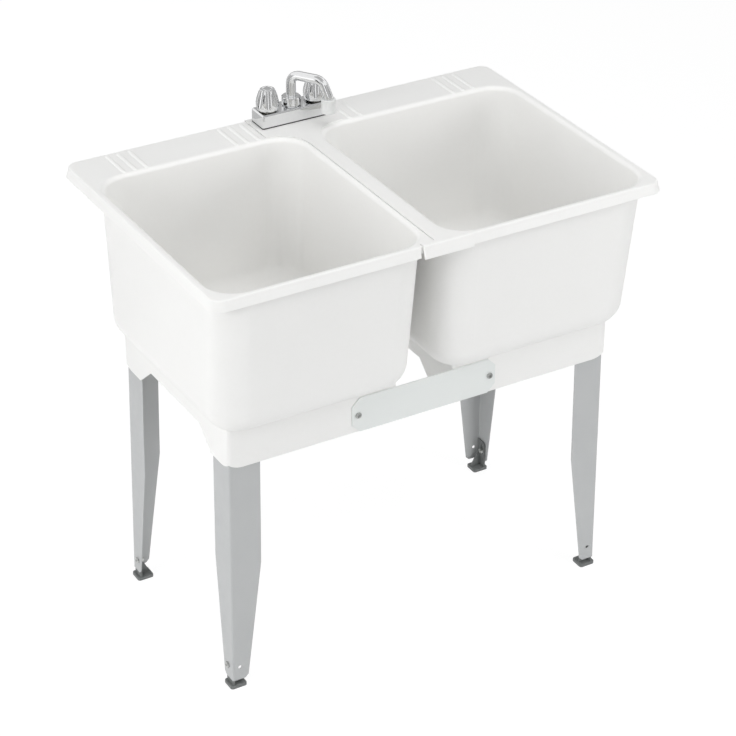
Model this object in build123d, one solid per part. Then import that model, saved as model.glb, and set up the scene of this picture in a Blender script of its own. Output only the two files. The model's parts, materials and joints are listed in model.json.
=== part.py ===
from build123d import *
import math
import os

os.makedirs("parts", exist_ok=True)

# Twin-bowl utility laundry sink on four sheet-steel legs, with a two-handle faucet.
# Millimetres.  Origin on the floor under the middle of the rim, +X to the right seen from
# the front, +Y to the back where the faucet stands, +Z up.

# ---- overall -------------------------------------------------------------------------
WIDTH = 914.4              # over the rims, side to side
RIM_DEPTH = 596.9          # over the rims, front to back
RIM_HEIGHT = 873.1         # floor to the flat top of the rim
WALL = 5.0                 # tub walls and rim top
SEAT_GAP = 0.2             # air between pieces that rest on each other

# ---- rim -----------------------------------------------------------------------------
SIDE_RIM = 15.4            # rim's edge to the bowl, at the two sides
FRONT_RIM = 12.5           # the same at the front
DECK_DEPTH = 93.8          # the same at the back, where the faucet stands
LIP_DROP = 19.5            # height of the turned-down lip
LIP_FLARE = 5.5            # lip's lower edge stands out past the rim's top edge
LIP_THICKNESS = 4.0
RIM_CORNER = 21.0          # plan radius of the rim's outer corners
LIP_ROUNDING = 3.0         # along the rim's outer top edge
BOWL_EDGE_ROUNDING = 8.0   # along each bowl's top edge

# ---- bowls ---------------------------------------------------------------------------
LEFT_BOWL_EDGE = -32.0     # inner wall of the left bowl beside the divider
RIGHT_BOWL_EDGE = 15.0     # inner wall of the right bowl beside the divider
BOWL_DEPTH = 304.7
BOWL_CORNER = 56.0         # plan radius inside the corners
BOWL_BOTTOM_RADIUS = 44.0
SIDE_DRAFT = 2.2           # degrees, the outer side wall
DIVIDER_DRAFT = 1.6        # the side wall beside the divider
FRONT_DRAFT = 4.8
BACK_DRAFT = 0.5

# ---- divider: the right tub's flange lies on the left tub's ---------------------------
SEAM_X = -22.5             # flange's edge along the divider
PAD_LEFT = -83.5           # raised faucet pad, left and right ends
PAD_RIGHT = 82.5
PAD_RISE = 1.2             # pad stands above the rim
PAD_TO_RIGHT_BOWL = 9.5    # pad's edge to the right bowl's wall
SEAM_GAP = 1.2
BAND_PROUD = 2.8           # lip band over the joint stands out from the lips
BAND_LEFT = -51.0
BAND_RIGHT = 49.5
BAND_DROP = 22.0
BAND_TOP_DEPTH = 9.0       # how far the band's ends lie on the rim's top
BAND_SLOT = 6.0            # gap between the left lip's end and the band
JOINT_CLEARANCE = 0.4      # between the recessed left lip and the band over it
RIGHT_WALL_CLEARANCE = 6.0 # left tub's lower flange to the right bowl's wall

# ---- deck ridges -----------------------------------------------------------------------
RIDGE_CENTRES = (-376.5, -354.0, -331.0, -144.5, -122.0, -98.5, 99.0, 122.5, 331.0, 354.0, 376.5)
RIDGE_WIDTH = 9.0
RIDGE_RISE = 1.8
RIDGE_FRONT_MARGIN = 7.0   # ridge's front end behind the bowl
RIDGE_BACK_MARGIN = 7.0    # ridge's back end before the rim's edge

# ---- skirt under each bowl -----------------------------------------------------------
SKIRT_BOTTOM = 485.0
SKIRT_SIDE_INSET = 52.6    # from the rim's edge
SKIRT_FRONT_INSET = 67.6
SKIRT_BACK_INSET = 108.2
SKIRT_GAP = 116.0          # between the two skirts
SKIRT_WALL = 3.2
SKIRT_CORNER = 7.0
SKIRT_CORNER_RISE = 11.0   # bottom edge lifts at the corners
SKIRT_CORNER_RUN = 30.0
ARCH_HEIGHT = 40.0         # side arches above the skirt's bottom edge
ARCH_POCKET = 66.0         # straight bottom edge beside each corner
ARCH_SLOPE = 46.0          # run of the arch's slanted ends

# ---- legs ----------------------------------------------------------------------------
LEG_WIDTH = 62.0
LEG_FOOT_WIDTH = 33.0
LEG_THICKNESS = 1.6
LEG_BEND = 3.2             # outer bend radius
LEG_TAPER_START = 268.0    # height at which the legs begin to narrow
LEG_BOTTOM = 18.0
LEG_POCKET_DEPTH = 60.0    # of leg inside the skirt
LEG_SPLAY = 0.7            # degrees outward, both ways
LEG_CLEARANCE = 0.3        # leg to skirt wall at the skirt's bottom edge
LEG_END_CORNER = 7.0       # rounding of the narrow lower ends
POCKET_SLOT = 3.4          # slot the leg's top stands in
POCKET_RIB = 3.0
POCKET_LENGTH = 46.0
POCKET_RIB_BOTTOM = 500.0

# ---- levelling feet ------------------------------------------------------------------
FOOT_LENGTH = 33.5         # side to side
FOOT_DEPTH = 31.0          # front to back
FOOT_THICKNESS = 6.5
FOOT_CORNER = 5.0
FOOT_OUTBOARD_X = 3.8      # pad stands out past the leg's corner
FOOT_OUTBOARD_Y = 1.0
FOOT_TRAVEL = 14.0
FOOT_UPRIGHT_TOP = 66.0
FOOT_UPRIGHT_WIDTH = 28.0
FOOT_UPRIGHT_THICKNESS = 3.0
FOOT_GUSSET_TOP = 50.0
FOOT_GUSSET_THICKNESS = 3.0
FOOT_GUSSET_INSET = 10.0   # from the leg's corner, clear of the nut
FOOT_GUSSET_MARGIN = 2.0   # gusset's toe to the pad's edge
RUNNING_GAP = 0.3          # between a foot and what it slides on
LEVEL_SCREW_HEIGHT = 44.5
LEVEL_SCREW_INSET = 20.0   # from the leg's corner
LEVEL_SCREW_RADIUS = 3.0
LEVEL_HEAD_RADIUS = 6.2
LEVEL_HEAD_HEIGHT = 3.6
EMPTY_HOLE_RADIUS = 3.5    # spare hole in the other flange
EMPTY_HOLE_INSET = 15.0
EMPTY_HOLE_HEIGHT = 46.0

# ---- tie plates ----------------------------------------------------------------------
PLATE_LENGTH = 306.0
PLATE_HEIGHT = 72.0
PLATE_THICKNESS = 2.0
PLATE_CHAMFER = 16.0
PLATE_SCREW_X = 140.5
PLATE_SCREW_RADIUS = 3.0
PLATE_HEAD_RADIUS = 6.0
PLATE_HEAD_HEIGHT = 3.4
NUT_FLATS = 10.0           # across flats
NUT_HEIGHT = 5.0
HOLE_CLEARANCE = 0.3

# ---- drains --------------------------------------------------------------------------
DRAIN_HOLE_RADIUS = 26.0
DRAIN_FLANGE_RADIUS = 40.0
DRAIN_FLANGE_HEIGHT = 2.6
DRAIN_RECESS = 3.4         # flange's recess in the bowl's floor
DRAIN_BOSS_RADIUS = 52.0
DRAIN_BOSS_DROP = 6.0      # boss below the bowl's floor
DRAIN_THROAT_RADIUS = 19.5  # at the grid
DRAIN_MOUTH_RADIUS = 22.0  # at the flange
DRAIN_BODY_RADIUS = 23.5
DRAIN_BODY_LENGTH = 52.0
DRAIN_GRID_THICKNESS = 3.0
DRAIN_GRID_DROP = 16.0
DRAIN_SLOTS = 6
DRAIN_SLOT_START = 6.0     # slots' inner and outer ends from the axis
DRAIN_SLOT_END = 17.0
DRAIN_SLOT_WIDTH = 5.6
DRAIN_GASKET_HEIGHT = 3.0
DRAIN_GASKET_RADIUS = 36.0
DRAIN_NUT_RADIUS = 36.0
DRAIN_NUT_HEIGHT = 9.0
DRAIN_NUT_LUG = 4.0        # lugs stand out from the nut, and its flange's thickness
TAILPIECE_RADIUS = 19.05   # inch-and-a-half drain pipe
TAILPIECE_WALL = 1.6
TAILPIECE_LENGTH = 102.0
TAILPIECE_FLANGE_RADIUS = 22.5
TAILPIECE_FLANGE_HEIGHT = 2.5
TAILPIECE_NECK_LENGTH = 6.0  # slimmer stretch inside the slip nut
TAILPIECE_NECK_RADIUS = 18.6
SLIP_WASHER_HEIGHT = 2.5
SLIP_NUT_RADIUS = 29.0
SLIP_NUT_HEIGHT = 19.0
SLIP_NUT_FLOOR = 3.0       # under the tailpiece's flange
SLIP_NUT_GROOVES = 12
SLIP_NUT_GROOVE_RADIUS = 2.6
STOPPER_RIM_RADIUS = 28.5
STOPPER_RIM_HEIGHT = 2.5
STOPPER_HEIGHT = 12.0      # of the plug in the mouth
STOPPER_KNOB_RADIUS = 6.0
STOPPER_NECK_RADIUS = 3.6
STOPPER_KNOB_HEIGHT = 14.0

# ---- faucet --------------------------------------------------------------------------
FAUCET_BACK_INSET = 30.45  # faucet's axis before the rim's back edge
FAUCET_LENGTH = 147.0
FAUCET_DEPTH = 47.0
FAUCET_HEIGHT = 25.5
FAUCET_CORNER = 3.5
FAUCET_CHAMFER = 2.6
FAUCET_GASKET = 2.6
HANDLE_SPACING = 101.6     # standard four-inch centres
SHANK_RADIUS = 10.45       # half-inch pipe thread
SHANK_BORE = 7.0
SHANK_LENGTH = 52.0        # below the deck's top
SHANK_END_LENGTH = 26.5    # free threaded end for the supply coupling
SHANK_NECK_WIDTH = 1.5     # thread run-out above the free end
SHANK_NECK_DEPTH = 0.8
SHANK_HOLE_RADIUS = 14.0
SHANK_WASHER_HEIGHT = 2.0
SHANK_WASHER_RADIUS = 19.0
SHANK_NUT_RADIUS = 18.0    # over the flange and wings
SHANK_NUT_HEIGHT = 9.0
SHANK_NUT_WALL = 4.0       # hub, flange and wings
PASSAGE_RADIUS = 5.0       # upright water passages in the faucet body
GALLERY_RADIUS = 2.5       # passage that joins them

CARTRIDGE_RADIUS = 9.6
CARTRIDGE_FIT = 0.1
CARTRIDGE_DEPTH = 15.0
CARTRIDGE_FLATS = 27.0     # hexagonal flange
CARTRIDGE_FLANGE_HEIGHT = 3.0
CARTRIDGE_NECK_RADIUS = 7.5
CARTRIDGE_NECK_HEIGHT = 10.0
STEM_RADIUS = 4.0
STEM_FIT = 0.05
STEM_COLLAR_RADIUS = 7.0
STEM_COLLAR_HEIGHT = 3.0
STEM_DEPTH = 10.0          # stem reaches below the body's top

HANDLE_GAP = 3.2           # handle's skirt above the body's top
HANDLE_HEIGHT = 40.0
HANDLE_WAIST_HEIGHT = 10.5  # above the skirt's edge
HANDLE_SHOULDER_HEIGHT = 29.0
HANDLE_CROWN_HEIGHT = 1.6   # rounded top edge
HANDLE_CROWN_WIDTH = 2.4
HANDLE_BASE_RADIUS = 20.6
HANDLE_WAIST_RADIUS = 22.2
HANDLE_SHOULDER_RADIUS = 18.6
HANDLE_TOP_RADIUS = 14.4
HANDLE_SHELL = 3.6         # thickness at the skirt
HANDLE_HOLLOW_HEIGHT = 25.0
HANDLE_HUB_RADIUS = 7.4
FLUTES = 8
FLUTE_RADIUS = 9.0
FLUTE_DEPTH = 2.0
HANDLE_DISH_DEPTH = 2.2
HANDLE_DISH_RADIUS = 11.0
BUTTON_RADIUS = 8.4
BUTTON_MARGIN = 1.0        # dish's floor around the button
BUTTON_HEIGHT = 2.4
HANDLE_SCREW_RADIUS = 2.0
HANDLE_SCREW_HEAD_RADIUS = 3.8
HANDLE_SCREW_HEAD_HEIGHT = 2.4
HANDLE_SCREW_LENGTH = 12.0
HANDLE_SCREW_GRIP = 6.0    # of handle between the screw's head and the stem

# ---- spout ---------------------------------------------------------------------------
SPOUT_RADIUS = 9.4
SPOUT_BORE = 6.3
SPOUT_TOP = 89.5           # centre line of the top run above the pad
SPOUT_RUN = 64.5           # riser to the outer bend
SPOUT_REACH = 78.5         # riser to the outlet
SPOUT_BEND = 17.0
SPOUT_OUTER_BEND = 20.0
SPOUT_STRAIGHT = 3.2       # leaning stretch ends this far above the tip
SPOUT_REST_ANGLE = 35.0    # swung right of straight ahead, degrees
SPOUT_SPIGOT = 15.0        # spout reaches below the body's top
SPOUT_SPIGOT_GAP = 0.9     # around the spigot, filled by the rings
SPOUT_COLLAR_RADIUS = 12.5
SPOUT_COLLAR_HEIGHT = 3.0
BOSS_RADIUS = 15.5
BOSS_HEIGHT = 4.0
SPOUT_NUT_RADIUS = 18.6
SPOUT_NUT_HEIGHT = 16.0
SPOUT_NUT_LIFT = 1.6       # nut's lower edge above the body's top
SPOUT_NUT_SLOTS = 12
SPOUT_NUT_SLOT_WIDTH = 3.0
SPOUT_NUT_SLOT_DEPTH = 8.0
SPOUT_NUT_SLOT_CUT = 2.2
O_RING_SECTION = 1.2
O_RING_OUTER = 10.0
O_RING_SPACING = 6.0
TIP_RADIUS = 14.0
TIP_LENGTH = 28.0
TIP_BOTTOM = 27.0          # above the pad
TIP_BORE = 9.0
TIP_OVERLAP = 12.0         # length of spout inside the tip
TIP_FIT = 0.05
SCREEN_THICKNESS = 1.5
SCREEN_HOLE_RADIUS = 1.0
SCREEN_RISE = 5.0          # screen above the outlet's lower edge
SCREEN_RINGS = ((3.2, 6), (6.2, 12))   # radius and number of holes
SMALL_EDGE = 1.2           # broken edges of nuts and the tip

# ---- worked out from the above -------------------------------------------------------
HALF_WIDTH = WIDTH / 2
RIM_FRONT = -RIM_DEPTH / 2
RIM_BACK = RIM_DEPTH / 2
PAD_TOP = RIM_HEIGHT + PAD_RISE
BOWL_FRONT = RIM_FRONT + FRONT_RIM
BOWL_BACK = RIM_BACK - DECK_DEPTH
FAUCET_Y = RIM_BACK - FAUCET_BACK_INSET
BOWL_FLOOR = RIM_HEIGHT - BOWL_DEPTH
BOWL_X = {"left": (-HALF_WIDTH + SIDE_RIM, LEFT_BOWL_EDGE),
          "right": (RIGHT_BOWL_EDGE, HALF_WIDTH - SIDE_RIM)}
SKIRT_OUTER = HALF_WIDTH - SKIRT_SIDE_INSET
SKIRT_FRONT = RIM_FRONT + SKIRT_FRONT_INSET
SKIRT_BACK = RIM_BACK - SKIRT_BACK_INSET
SKIRT_X = {"left": (-SKIRT_OUTER, -SKIRT_GAP / 2), "right": (SKIRT_GAP / 2, SKIRT_OUTER)}
SKIRT_MIDDLE_Y = (SKIRT_FRONT + SKIRT_BACK) / 2
LEG_TOP = SKIRT_BOTTOM + LEG_POCKET_DEPTH
SPLAY = math.tan(math.radians(LEG_SPLAY))
DRAIN_Y = (BOWL_FRONT + BOWL_BACK) / 2
DRAIN_SEAT = BOWL_FLOOR - DRAIN_RECESS
DRAIN_BOSS_BOTTOM = BOWL_FLOOR - WALL - DRAIN_BOSS_DROP
BODY_BOTTOM = PAD_TOP + FAUCET_GASKET
BODY_TOP = BODY_BOTTOM + FAUCET_HEIGHT
HANDLE_BOTTOM = BODY_TOP + HANDLE_GAP
HANDLE_TOP = HANDLE_BOTTOM + HANDLE_HEIGHT
DISH_FLOOR = HANDLE_TOP - HANDLE_DISH_DEPTH
FAR = 2000.0               # longer than anything here, for cutting tools


def block(x0, x1, y0, y1, z0, z1):
    """Box between two corners."""
    centre = ((x0 + x1) / 2, (y0 + y1) / 2, (z0 + z1) / 2)
    return Pos(*centre) * Box(x1 - x0, y1 - y0, z1 - z0)


def rounded_block(x0, x1, y0, y1, z0, z1, radius):
    """Box with rounded upright corners."""
    plan = RectangleRounded(x1 - x0, y1 - y0, radius)
    return Pos((x0 + x1) / 2, (y0 + y1) / 2, z0) * extrude(plan, z1 - z0)


def disc(radius, z0, z1, x=0.0, y=0.0):
    """Upright cylinder between two heights."""
    return Pos(x, y, (z0 + z1) / 2) * Cylinder(radius, z1 - z0)


def ring(outer, inner, z0, z1, x=0.0, y=0.0):
    """Upright tube between two heights."""
    return disc(outer, z0, z1, x, y) - disc(inner, z0 - 1, z1 + 1, x, y)


def hexagon(flats, z0, z1, x=0.0, y=0.0):
    """Upright hexagonal prism, size across flats."""
    plan = RegularPolygon(flats / 2, 6, major_radius=False)
    return Pos(x, y, z0) * extrude(plan, z1 - z0)


def profile_along_y(points, y0, y1):
    """Solid from an outline of (x, z) points, between two values of y."""
    outline = make_face(Polyline(*[(x, y0, z) for x, z in points], close=True))
    return extrude(outline, amount=y1 - y0, dir=(0, 1, 0))


def profile_along_x(points, x0, x1):
    """Solid from an outline of (y, z) points, between two values of x."""
    outline = make_face(Polyline(*[(x0, y, z) for y, z in points], close=True))
    return extrude(outline, amount=x1 - x0, dir=(1, 0, 0))


# ======================================================================================
# Tubs
# ======================================================================================

def bowl_section(side, z, grow):
    """Rounded rectangle of the bowl's wall at a height; grow moves the walls outward."""
    drop = RIM_HEIGHT - z
    drafts = (SIDE_DRAFT, DIVIDER_DRAFT) if side == "left" else (DIVIDER_DRAFT, SIDE_DRAFT)
    x0, x1 = BOWL_X[side]
    x0 += drop * math.tan(math.radians(drafts[0])) - grow
    x1 -= drop * math.tan(math.radians(drafts[1])) - grow
    y0 = BOWL_FRONT + drop * math.tan(math.radians(FRONT_DRAFT)) - grow
    y1 = BOWL_BACK - drop * math.tan(math.radians(BACK_DRAFT)) + grow
    plan = RectangleRounded(x1 - x0, y1 - y0, BOWL_CORNER + grow)
    return Pos((x0 + x1) / 2, (y0 + y1) / 2, z) * plan


def bowl_form(side, top, grow):
    """Drafted bowl with a rounded bottom; grow is the wall outside the water space."""
    floor = BOWL_FLOOR - grow
    form = loft([bowl_section(side, floor, grow), bowl_section(side, top, grow)], ruled=True)
    bottom = form.faces().sort_by(Axis.Z)[0]
    return fillet(bottom.edges(), BOWL_BOTTOM_RADIUS + grow)


def corner_lift(x_corner, x_inward, z):
    """Outline below a bottom edge that curves up towards a corner."""
    run = x_inward - x_corner
    radius = (SKIRT_CORNER_RUN ** 2 + SKIRT_CORNER_RISE ** 2) / (2 * SKIRT_CORNER_RISE)
    points = []
    steps = 8
    for step in range(steps + 1):
        along = SKIRT_CORNER_RUN * (1 - step / steps)
        lift = radius - math.sqrt(radius ** 2 - along ** 2)
        points.append((x_corner + math.copysign(SKIRT_CORNER_RUN - along, run), z + lift))
    return points


def skirt_bottom_tools(side):
    """What the skirt's bottom edge leaves out: lifted corners and the arched sides."""
    x0, x1 = SKIRT_X[side]
    low = SKIRT_BOTTOM - 1
    reach = SKIRT_WALL + SKIRT_CORNER
    lift = corner_lift(x0, x1, SKIRT_BOTTOM) + corner_lift(x1, x0, SKIRT_BOTTOM)[::-1]
    outline = [(x0 - 1, low), (x0 - 1, SKIRT_BOTTOM + SKIRT_CORNER_RISE)]
    outline += lift + [(x1 + 1, SKIRT_BOTTOM + SKIRT_CORNER_RISE), (x1 + 1, low)]
    tools = [profile_along_y(outline, SKIRT_FRONT - 1, SKIRT_FRONT + SKIRT_WALL),
             profile_along_y(outline, SKIRT_BACK - SKIRT_WALL, SKIRT_BACK + 1)]
    front = corner_lift(SKIRT_FRONT, SKIRT_BACK, SKIRT_BOTTOM)
    back = corner_lift(SKIRT_BACK, SKIRT_FRONT, SKIRT_BOTTOM)[::-1]
    arch_top = SKIRT_BOTTOM + ARCH_HEIGHT
    arch = [(SKIRT_FRONT + ARCH_POCKET, SKIRT_BOTTOM),
            (SKIRT_FRONT + ARCH_POCKET + ARCH_SLOPE, arch_top),
            (SKIRT_BACK - ARCH_POCKET - ARCH_SLOPE, arch_top),
            (SKIRT_BACK - ARCH_POCKET, SKIRT_BOTTOM)]
    lifted = SKIRT_BOTTOM + SKIRT_CORNER_RISE
    side_outline = [(SKIRT_FRONT - 1, low), (SKIRT_FRONT - 1, lifted)]
    side_outline += front + arch + back + [(SKIRT_BACK + 1, lifted), (SKIRT_BACK + 1, low)]
    tools.append(profile_along_x(side_outline, x0 - 1, x0 + SKIRT_WALL))
    tools.append(profile_along_x(side_outline, x1 - SKIRT_WALL, x1 + 1))
    return tools


def corner_angle(x_corner, y_corner, x_in, y_in, thickness, length, z0, z1):
    """Upright L at a corner, its two legs running along x_in and y_in (+1 or -1)."""
    xs = sorted((x_corner, x_corner + x_in * length))
    ys = sorted((y_corner, y_corner + y_in * length))
    x_thin = sorted((x_corner, x_corner + x_in * thickness))
    y_thin = sorted((y_corner, y_corner + y_in * thickness))
    return block(*xs, *y_thin, z0, z1) + block(*x_thin, *ys, z0, z1)


def leg_pocket(side, y_corner, y_in):
    """Ribs that hold a leg's top in the skirt's outer corner, and the slot in them."""
    x_in = 1 if side == "left" else -1
    x_corner = -x_in * (SKIRT_OUTER - SKIRT_WALL)
    ribs = corner_angle(x_corner, y_corner, x_in, y_in, POCKET_SLOT + POCKET_RIB,
                        POCKET_LENGTH, POCKET_RIB_BOTTOM, BOWL_FLOOR + BOWL_BOTTOM_RADIUS)
    slot = corner_angle(x_corner, y_corner, x_in, y_in, POCKET_SLOT, LEG_WIDTH + 3,
                        SKIRT_BOTTOM - 1, LEG_TOP + SEAT_GAP)
    return ribs, slot


def skirt(side):
    """Four-sided skirt below a bowl, with its leg pockets."""
    x0, x1 = SKIRT_X[side]
    top = BOWL_FLOOR + BOWL_BOTTOM_RADIUS
    outside = rounded_block(x0, x1, SKIRT_FRONT, SKIRT_BACK, SKIRT_BOTTOM, top, SKIRT_CORNER)
    inner_corner = SKIRT_CORNER - SKIRT_WALL
    inside = rounded_block(x0 + SKIRT_WALL, x1 - SKIRT_WALL, SKIRT_FRONT + SKIRT_WALL,
                           SKIRT_BACK - SKIRT_WALL, SKIRT_BOTTOM - 1, top + 1, inner_corner)
    shell = outside - inside
    pockets = [leg_pocket(side, SKIRT_FRONT + SKIRT_WALL, 1),
               leg_pocket(side, SKIRT_BACK - SKIRT_WALL, -1)]
    for ribs, slot in pockets:
        shell = shell + (ribs & outside) - slot
    for tool in skirt_bottom_tools(side):
        shell = shell - tool
    return shell


def flare_at(z):
    """How far the flared lip has moved outward at a height."""
    return LIP_FLARE * (RIM_HEIGHT - z) / LIP_DROP


def rim_block(side, joint, inset, z0, z1):
    """Block from a rim's outer end to the joint, flaring like the lip, inset from its face."""
    outer = -HALF_WIDTH if side == "left" else HALF_WIDTH
    beyond = joint - math.copysign(2 * RIM_CORNER, outer)
    sections = []
    for z in (z0, z1):
        out = flare_at(z) - inset
        plan = RectangleRounded(abs(beyond - outer) + 2 * out, RIM_DEPTH + 2 * out,
                                RIM_CORNER + out)
        sections.append(Pos((outer + beyond) / 2, 0, z) * plan)
    x0, x1 = sorted((joint, math.copysign(FAR, outer)))
    return loft(sections, ruled=True) & block(x0, x1, -FAR, FAR, z0, z1)


def rim_form(side, joint):
    """Rim block with its top edge rounded, solid down to the lip's edge."""
    form = rim_block(side, joint, 0.0, RIM_HEIGHT - LIP_DROP, RIM_HEIGHT)
    top = form.faces().sort_by(Axis.Z)[-1]
    rounded = [e for e in top.edges() if abs(e.center().X - joint) > 1]
    return fillet(rounded, LIP_ROUNDING)


def rim_hollow(side, joint):
    """Space under the rim's top, inside its lip."""
    return rim_block(side, joint, LIP_THICKNESS, RIM_HEIGHT - LIP_DROP - 1, RIM_HEIGHT - WALL)


def flange_plan(grow, z0, z1):
    """The right tub's flange left of the right bowl; grow enlarges it on its left."""
    band_front = RIM_FRONT - BAND_PROUD
    band_back = RIM_BACK + BAND_PROUD
    deck_start = BOWL_BACK - BOWL_CORNER
    edge = SEAM_X - grow
    strip = block(edge, PAD_RIGHT, band_front, deck_start + 1, z0, z1)
    deck = block(PAD_LEFT - grow, PAD_RIGHT, deck_start, band_back, z0, z1)
    band_top = block(BAND_LEFT - grow, PAD_RIGHT, band_front,
                     RIM_FRONT + BAND_TOP_DEPTH + grow, z0, z1)
    margin = SEAM_X - LEFT_BOWL_EDGE - grow
    left_opening = rounded_block(BOWL_X["left"][0], LEFT_BOWL_EDGE + margin,
                                 BOWL_FRONT - FAR, BOWL_BACK + margin, z0 - 1, z1 + 1,
                                 BOWL_CORNER + margin)
    return (strip + deck - left_opening) + band_top


def pad_right_boundary(z0, z1):
    """Space over the right bowl and its rim that the raised pad leaves free."""
    over_bowl = rounded_block(RIGHT_BOWL_EDGE - PAD_TO_RIGHT_BOWL, HALF_WIDTH,
                              BOWL_FRONT - FAR, BOWL_BACK + PAD_TO_RIGHT_BOWL, z0, z1,
                              BOWL_CORNER + PAD_TO_RIGHT_BOWL)
    front_rim = block(RIGHT_BOWL_EDGE - PAD_TO_RIGHT_BOWL, HALF_WIDTH, RIM_FRONT - FAR,
                      BOWL_FRONT, z0, z1)
    return over_bowl + front_rim


def ridges(x_low, x_high):
    """Half-round ridges across the deck, those with centres between two values of x."""
    half = RIDGE_WIDTH / 2
    radius = (half ** 2 + RIDGE_RISE ** 2) / (2 * RIDGE_RISE)
    y0 = BOWL_BACK + RIDGE_FRONT_MARGIN
    y1 = RIM_BACK - RIDGE_BACK_MARGIN
    z = RIM_HEIGHT + RIDGE_RISE - radius
    rods = []
    for x in RIDGE_CENTRES:
        if x_low < x < x_high:
            rod = Pos(x, (y0 + y1) / 2, z) * Rot(90, 0, 0) * Cylinder(radius, y1 - y0 - 2 * half)
            rod += Pos(x, y0 + half, z) * Sphere(radius)
            rod += Pos(x, y1 - half, z) * Sphere(radius)
            keep = block(x - half, x + half, y0 - half, y1 + half, RIM_HEIGHT - 1, RIM_HEIGHT + 9)
            rods.append(rod & keep)
    return rods


def drain_boss(side):
    """Thick ring under the bowl's floor around the drain."""
    x = sum(BOWL_X[side]) / 2
    return disc(DRAIN_BOSS_RADIUS, DRAIN_BOSS_BOTTOM, BOWL_FLOOR - 1, x, DRAIN_Y)


def drain_opening(side):
    """Hole and flange recess for the drain."""
    x = sum(BOWL_X[side]) / 2
    hole = disc(DRAIN_HOLE_RADIUS, DRAIN_BOSS_BOTTOM - 1, BOWL_FLOOR + 1, x, DRAIN_Y)
    recess = disc(DRAIN_FLANGE_RADIUS + HOLE_CLEARANCE, DRAIN_SEAT, BOWL_FLOOR + 1, x, DRAIN_Y)
    return hole + recess


def plate_screw_places():
    """Centres of the four tie plate screws as (x, outer skirt face y, outward sign)."""
    return [(x, y, out) for y, out in ((SKIRT_FRONT, -1), (SKIRT_BACK, 1))
            for x in (-PLATE_SCREW_X, PLATE_SCREW_X)]


def along_y(shape, x, y, z):
    """Turn a shape made along +Z so that it runs along +Y, and place it."""
    return Pos(x, y, z) * Rot(-90, 0, 0) * shape


def plate_screw_height():
    return SKIRT_BOTTOM + PLATE_HEIGHT / 2


def shank_holes():
    """Two holes in the deck for the faucet's shanks."""
    return [disc(SHANK_HOLE_RADIUS, RIM_HEIGHT - 4 * WALL, PAD_TOP + 1, x, FAUCET_Y)
            for x in (-HANDLE_SPACING / 2, HANDLE_SPACING / 2)]


def open_bowl(side, rim):
    """Join a rim and its bowl, hollow the bowl and round the edge of its mouth."""
    tub = rim + bowl_form(side, RIM_HEIGHT - WALL / 2, WALL)
    tub = tub - bowl_form(side, RIM_HEIGHT, 0.0)
    mouth = [e for e in tub.edges() if on_bowl_mouth(side, e)]
    return fillet(mouth, BOWL_EDGE_ROUNDING)


def on_bowl_mouth(side, edge):
    """Whether an edge lies on the bowl's mouth, at the rim's height."""
    x0, x1 = BOWL_X[side]
    size = edge.bounding_box()
    level = abs(size.min.Z - RIM_HEIGHT) < 0.01 and abs(size.max.Z - RIM_HEIGHT) < 0.01
    inside_x = x0 - 0.1 < size.min.X and size.max.X < x1 + 0.1
    inside_y = BOWL_FRONT - 0.1 < size.min.Y and size.max.Y < BOWL_BACK + 0.1
    return level and inside_x and inside_y


def below_bowl(side):
    """Skirt and drain boss, without what would reach into the bowl."""
    return skirt(side) + drain_boss(side) - bowl_form(side, RIM_HEIGHT, 0.0)


def cut_openings(side, tub):
    """Drain, screw and shank holes."""
    tub = tub - drain_opening(side)
    hole = Cylinder(PLATE_SCREW_RADIUS + HOLE_CLEARANCE, 4 * SKIRT_WALL)
    for x, y, out in plate_screw_places():
        tub = tub - along_y(hole, x, y, plate_screw_height())
    for shank_hole in shank_holes():
        tub = tub - shank_hole
    return tub


def left_tub():
    """Left tub; its rim beside the divider steps down under the right tub's flange."""
    lower_end = RIGHT_BOWL_EDGE - WALL - RIGHT_WALL_CLEARANCE
    low = RIM_HEIGHT - LIP_DROP - 1
    rim = rim_form("left", lower_end) - rim_hollow("left", lower_end + 1)
    tub = open_bowl("left", rim)
    cut_in = LIP_THICKNESS - BAND_PROUD - flare_at(RIM_HEIGHT - WALL) + JOINT_CLEARANCE
    lower_flange = block(PAD_LEFT - 2 * WALL, lower_end, RIM_FRONT + cut_in,
                         RIM_BACK - cut_in, RIM_HEIGHT - 2 * WALL, RIM_HEIGHT - WALL)
    tub = tub + (lower_flange - bowl_form("left", RIM_HEIGHT, WALL / 2))
    tub = tub - flange_plan(SEAM_GAP, RIM_HEIGHT - WALL - SEAT_GAP, RIM_HEIGHT + 1)
    tub = tub - block(BAND_LEFT - BAND_SLOT, FAR, -FAR, RIM_FRONT + cut_in, low, RIM_HEIGHT + 1)
    tub = tub - block(PAD_LEFT - BAND_SLOT, FAR, RIM_BACK - cut_in, FAR, low, RIM_HEIGHT + 1)
    tub = tub + below_bowl("left")
    for ridge in ridges(-HALF_WIDTH, PAD_LEFT):
        tub = tub + ridge
    return cut_openings("left", tub)


def band(x0, x1, y_lip, y_outer):
    """Flared lip band over the joint between the tubs, with its outer top edge rounded."""
    out = math.copysign(1, y_outer)
    low = RIM_HEIGHT - BAND_DROP
    shoulder = RIM_HEIGHT - WALL
    y_low = y_outer + out * flare_at(low)
    y_shoulder = y_outer + out * (flare_at(shoulder) - LIP_THICKNESS)
    y_top = y_lip - out * (LIP_ROUNDING + 1)
    form = profile_along_x([(y_outer, PAD_TOP), (y_low, low), (y_low - out * LIP_THICKNESS, low),
                            (y_shoulder, shoulder), (y_top, shoulder), (y_top, PAD_TOP)], x0, x1)
    edges = [e for e in form.edges().filter_by(Axis.X)
             if abs(e.center().Y - y_outer) < 0.01 and abs(e.center().Z - PAD_TOP) < 0.01]
    return fillet(edges, LIP_ROUNDING)


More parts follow.
